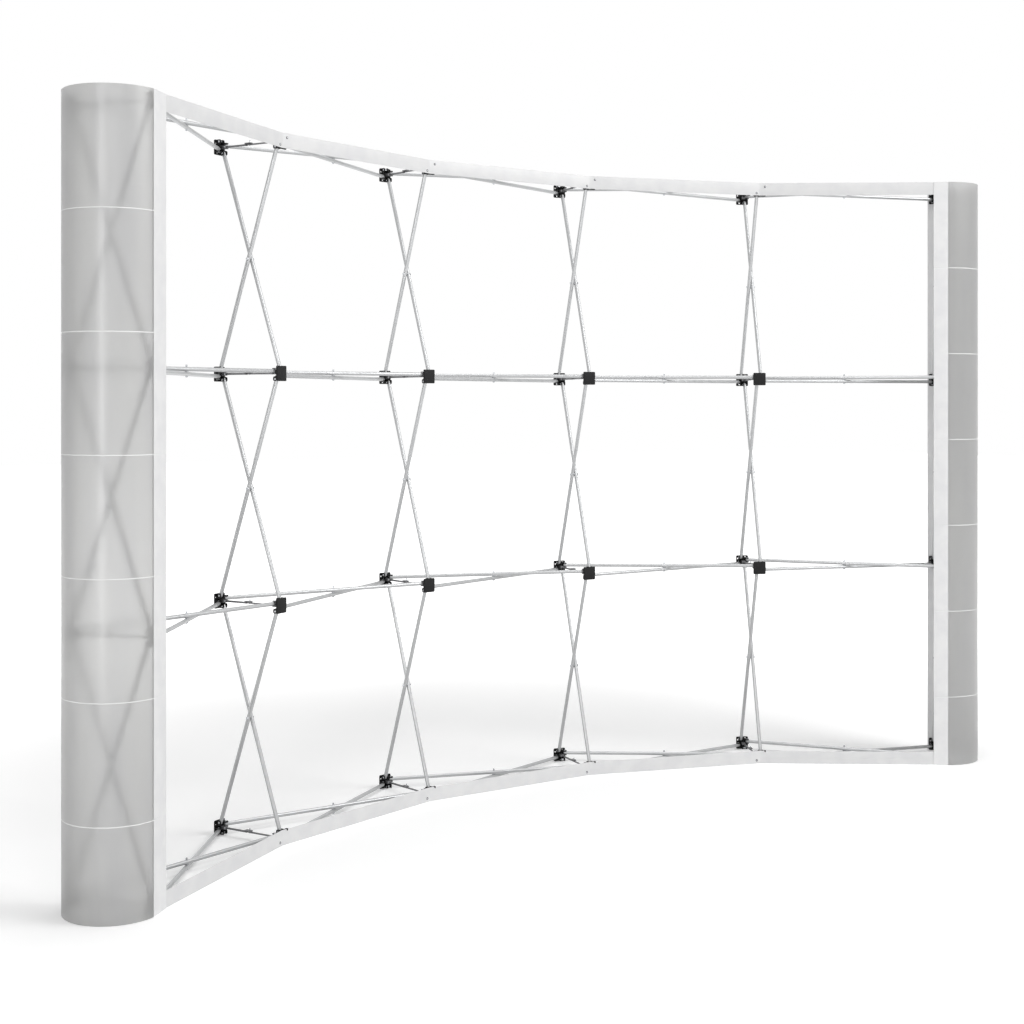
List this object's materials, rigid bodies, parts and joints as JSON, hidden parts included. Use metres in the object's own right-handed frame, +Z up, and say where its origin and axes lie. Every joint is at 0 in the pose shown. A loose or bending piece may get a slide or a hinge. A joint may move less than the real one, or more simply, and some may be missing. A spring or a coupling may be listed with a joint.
{
  "type": "pop up display backwall",
  "caption": "Curved pop up display backwall: a folding lattice of crossed aluminium tubes on square hubs, with a top and foot fascia and a bowed translucent end panel at each side.",
  "frame": {"origin": "on the floor, under the middle of the bounding box", "axes": "+X to the right along the wall as seen from the hollow side, +Y from the hollow front towards the back, +Z up"},
  "size_m": [3.576, 0.917, 2.232],
  "materials": {
    "tube": "satin anodised",
    "lock_arm": "satin black",
    "fascia": "satin white sheet",
    "end_panel": "frosted translucent sheet",
    "rail": "satin light grey"
  },
  "bodies": {
    "wall_frame": {"column_frame_1": "tube", "column_frame_2": "tube", "column_frame_3": "tube", "column_frame_4": "tube", "column_frame_5": "tube", "column_frame_6": "tube", "cross_pair_b1_l1": "tube", "cross_pair_b1_l2": "tube", "cross_pair_b1_l3": "tube", "cross_pair_b1_l4": "tube", "cross_pair_b2_l1": "tube", "cross_pair_b2_l2": "tube", "cross_pair_b2_l3": "tube", "cross_pair_b2_l4": "tube", "cross_pair_b3_l1": "tube", "cross_pair_b3_l2": "tube", "cross_pair_b3_l3": "tube", "cross_pair_b3_l4": "tube", "cross_pair_b4_l1": "tube", "cross_pair_b4_l2": "tube", "cross_pair_b4_l3": "tube", "cross_pair_b4_l4": "tube", "cross_pair_b5_l1": "tube", "cross_pair_b5_l2": "tube", "cross_pair_b5_l3": "tube", "cross_pair_b5_l4": "tube", "fascia_bottom": "fascia", "fascia_top": "fascia", "flange_rail_left": "rail", "flange_rail_right": "rail"},
    "lock_arm_c1_l1": {"lock_arm_c1_l1": "lock_arm"},
    "lock_arm_c1_l2": {"lock_arm_c1_l2": "lock_arm"},
    "lock_arm_c1_l3": {"lock_arm_c1_l3": "lock_arm"},
    "lock_arm_c1_l4": {"lock_arm_c1_l4": "lock_arm"},
    "lock_arm_c2_l1": {"lock_arm_c2_l1": "lock_arm"},
    "lock_arm_c2_l2": {"lock_arm_c2_l2": "lock_arm"},
    "lock_arm_c2_l3": {"lock_arm_c2_l3": "lock_arm"},
    "lock_arm_c2_l4": {"lock_arm_c2_l4": "lock_arm"},
    "lock_arm_c3_l1": {"lock_arm_c3_l1": "lock_arm"},
    "lock_arm_c3_l2": {"lock_arm_c3_l2": "lock_arm"},
    "lock_arm_c3_l3": {"lock_arm_c3_l3": "lock_arm"},
    "lock_arm_c3_l4": {"lock_arm_c3_l4": "lock_arm"},
    "lock_arm_c4_l1": {"lock_arm_c4_l1": "lock_arm"},
    "lock_arm_c4_l2": {"lock_arm_c4_l2": "lock_arm"},
    "lock_arm_c4_l3": {"lock_arm_c4_l3": "lock_arm"},
    "lock_arm_c4_l4": {"lock_arm_c4_l4": "lock_arm"},
    "lock_arm_c5_l1": {"lock_arm_c5_l1": "lock_arm"},
    "lock_arm_c5_l2": {"lock_arm_c5_l2": "lock_arm"},
    "lock_arm_c5_l3": {"lock_arm_c5_l3": "lock_arm"},
    "lock_arm_c5_l4": {"lock_arm_c5_l4": "lock_arm"},
    "lock_arm_c6_l1": {"lock_arm_c6_l1": "lock_arm"},
    "lock_arm_c6_l2": {"lock_arm_c6_l2": "lock_arm"},
    "lock_arm_c6_l3": {"lock_arm_c6_l3": "lock_arm"},
    "lock_arm_c6_l4": {"lock_arm_c6_l4": "lock_arm"},
    "end_panel_left": {"end_panel_left": "end_panel"},
    "end_panel_right": {"end_panel_right": "end_panel"}
  },
  "joints": [
    {"name": "lock_arm_c1_l1_pivot", "type": "hinge", "parent": "wall_frame", "child": "lock_arm_c1_l1", "pos_m": [-1.72896, -0.2443, 0.024], "axis": [-0.7163, -0.6978, 0], "range_deg": [0, 70]},
    {"name": "lock_arm_c1_l2_pivot", "type": "hinge", "parent": "wall_frame", "child": "lock_arm_c1_l2", "pos_m": [-1.72896, -0.2443, 0.751], "axis": [-0.7163, -0.6978, 0], "range_deg": [0, 70]},
    {"name": "lock_arm_c1_l3_pivot", "type": "hinge", "parent": "wall_frame", "child": "lock_arm_c1_l3", "pos_m": [-1.72896, -0.2443, 1.478], "axis": [-0.7163, -0.6978, 0], "range_deg": [0, 70]},
    {"name": "lock_arm_c1_l4_pivot", "type": "hinge", "parent": "wall_frame", "child": "lock_arm_c1_l4", "pos_m": [-1.72896, -0.2443, 2.205], "axis": [-0.7163, -0.6978, 0], "range_deg": [0, 70]},
    {"name": "lock_arm_c2_l1_pivot", "type": "hinge", "parent": "wall_frame", "child": "lock_arm_c2_l1", "pos_m": [-1.10933, 0.19606, 0.024], "axis": [-0.8945, -0.447, 0], "range_deg": [0, 70]},
    {"name": "lock_arm_c2_l2_pivot", "type": "hinge", "parent": "wall_frame", "child": "lock_arm_c2_l2", "pos_m": [-1.10933, 0.19606, 0.751], "axis": [-0.8945, -0.447, 0], "range_deg": [0, 70]},
    {"name": "lock_arm_c2_l3_pivot", "type": "hinge", "parent": "wall_frame", "child": "lock_arm_c2_l3", "pos_m": [-1.10933, 0.19606, 1.478], "axis": [-0.8945, -0.447, 0], "range_deg": [0, 70]},
    {"name": "lock_arm_c2_l4_pivot", "type": "hinge", "parent": "wall_frame", "child": "lock_arm_c2_l4", "pos_m": [-1.10933, 0.19606, 2.205], "axis": [-0.8945, -0.447, 0], "range_deg": [0, 70]},
    {"name": "lock_arm_c3_l1_pivot", "type": "hinge", "parent": "wall_frame", "child": "lock_arm_c3_l1", "pos_m": [-0.38515, 0.42717, 0.024], "axis": [-0.9881, -0.1538, 0], "range_deg": [0, 70]},
    {"name": "lock_arm_c3_l2_pivot", "type": "hinge", "parent": "wall_frame", "child": "lock_arm_c3_l2", "pos_m": [-0.38515, 0.42717, 0.751], "axis": [-0.9881, -0.1538, 0], "range_deg": [0, 70]},
    {"name": "lock_arm_c3_l3_pivot", "type": "hinge", "parent": "wall_frame", "child": "lock_arm_c3_l3", "pos_m": [-0.38515, 0.42717, 1.478], "axis": [-0.9881, -0.1538, 0], "range_deg": [0, 70]},
    {"name": "lock_arm_c3_l4_pivot", "type": "hinge", "parent": "wall_frame", "child": "lock_arm_c3_l4", "pos_m": [-0.38515, 0.42717, 2.205], "axis": [-0.9881, -0.1538, 0], "range_deg": [0, 70]},
    {"name": "lock_arm_c4_l1_pivot", "type": "hinge", "parent": "wall_frame", "child": "lock_arm_c4_l1", "pos_m": [0.37502, 0.42717, 0.024], "axis": [-0.9881, 0.1538, 0], "range_deg": [0, 70]},
    {"name": "lock_arm_c4_l2_pivot", "type": "hinge", "parent": "wall_frame", "child": "lock_arm_c4_l2", "pos_m": [0.37502, 0.42717, 0.751], "axis": [-0.9881, 0.1538, 0], "range_deg": [0, 70]},
    {"name": "lock_arm_c4_l3_pivot", "type": "hinge", "parent": "wall_frame", "child": "lock_arm_c4_l3", "pos_m": [0.37502, 0.42717, 1.478], "axis": [-0.9881, 0.1538, 0], "range_deg": [0, 70]},
    {"name": "lock_arm_c4_l4_pivot", "type": "hinge", "parent": "wall_frame", "child": "lock_arm_c4_l4", "pos_m": [0.37502, 0.42717, 2.205], "axis": [-0.9881, 0.1538, 0], "range_deg": [0, 70]},
    {"name": "lock_arm_c5_l1_pivot", "type": "hinge", "parent": "wall_frame", "child": "lock_arm_c5_l1", "pos_m": [1.0992, 0.19606, 0.024], "axis": [-0.8945, 0.447, 0], "range_deg": [0, 70]},
    {"name": "lock_arm_c5_l2_pivot", "type": "hinge", "parent": "wall_frame", "child": "lock_arm_c5_l2", "pos_m": [1.0992, 0.19606, 0.751], "axis": [-0.8945, 0.447, 0], "range_deg": [0, 70]},
    {"name": "lock_arm_c5_l3_pivot", "type": "hinge", "parent": "wall_frame", "child": "lock_arm_c5_l3", "pos_m": [1.0992, 0.19606, 1.478], "axis": [-0.8945, 0.447, 0], "range_deg": [0, 70]},
    {"name": "lock_arm_c5_l4_pivot", "type": "hinge", "parent": "wall_frame", "child": "lock_arm_c5_l4", "pos_m": [1.0992, 0.19606, 2.205], "axis": [-0.8945, 0.447, 0], "range_deg": [0, 70]},
    {"name": "lock_arm_c6_l1_pivot", "type": "hinge", "parent": "wall_frame", "child": "lock_arm_c6_l1", "pos_m": [1.71884, -0.2443, 0.024], "axis": [-0.7163, 0.6978, 0], "range_deg": [0, 70]},
    {"name": "lock_arm_c6_l2_pivot", "type": "hinge", "parent": "wall_frame", "child": "lock_arm_c6_l2", "pos_m": [1.71884, -0.2443, 0.751], "axis": [-0.7163, 0.6978, 0], "range_deg": [0, 70]},
    {"name": "lock_arm_c6_l3_pivot", "type": "hinge", "parent": "wall_frame", "child": "lock_arm_c6_l3", "pos_m": [1.71884, -0.2443, 1.478], "axis": [-0.7163, 0.6978, 0], "range_deg": [0, 70]},
    {"name": "lock_arm_c6_l4_pivot", "type": "hinge", "parent": "wall_frame", "child": "lock_arm_c6_l4", "pos_m": [1.71884, -0.2443, 2.205], "axis": [-0.7163, 0.6978, 0], "range_deg": [0, 70]},
    {"name": "end_panel_left_lift", "type": "slide", "parent": "wall_frame", "child": "end_panel_left", "axis": [0, 0, 1], "range_m": [0, 0.06]},
    {"name": "end_panel_right_lift", "type": "slide", "parent": "wall_frame", "child": "end_panel_right", "axis": [0, 0, 1], "range_m": [0, 0.06]}
  ]
}
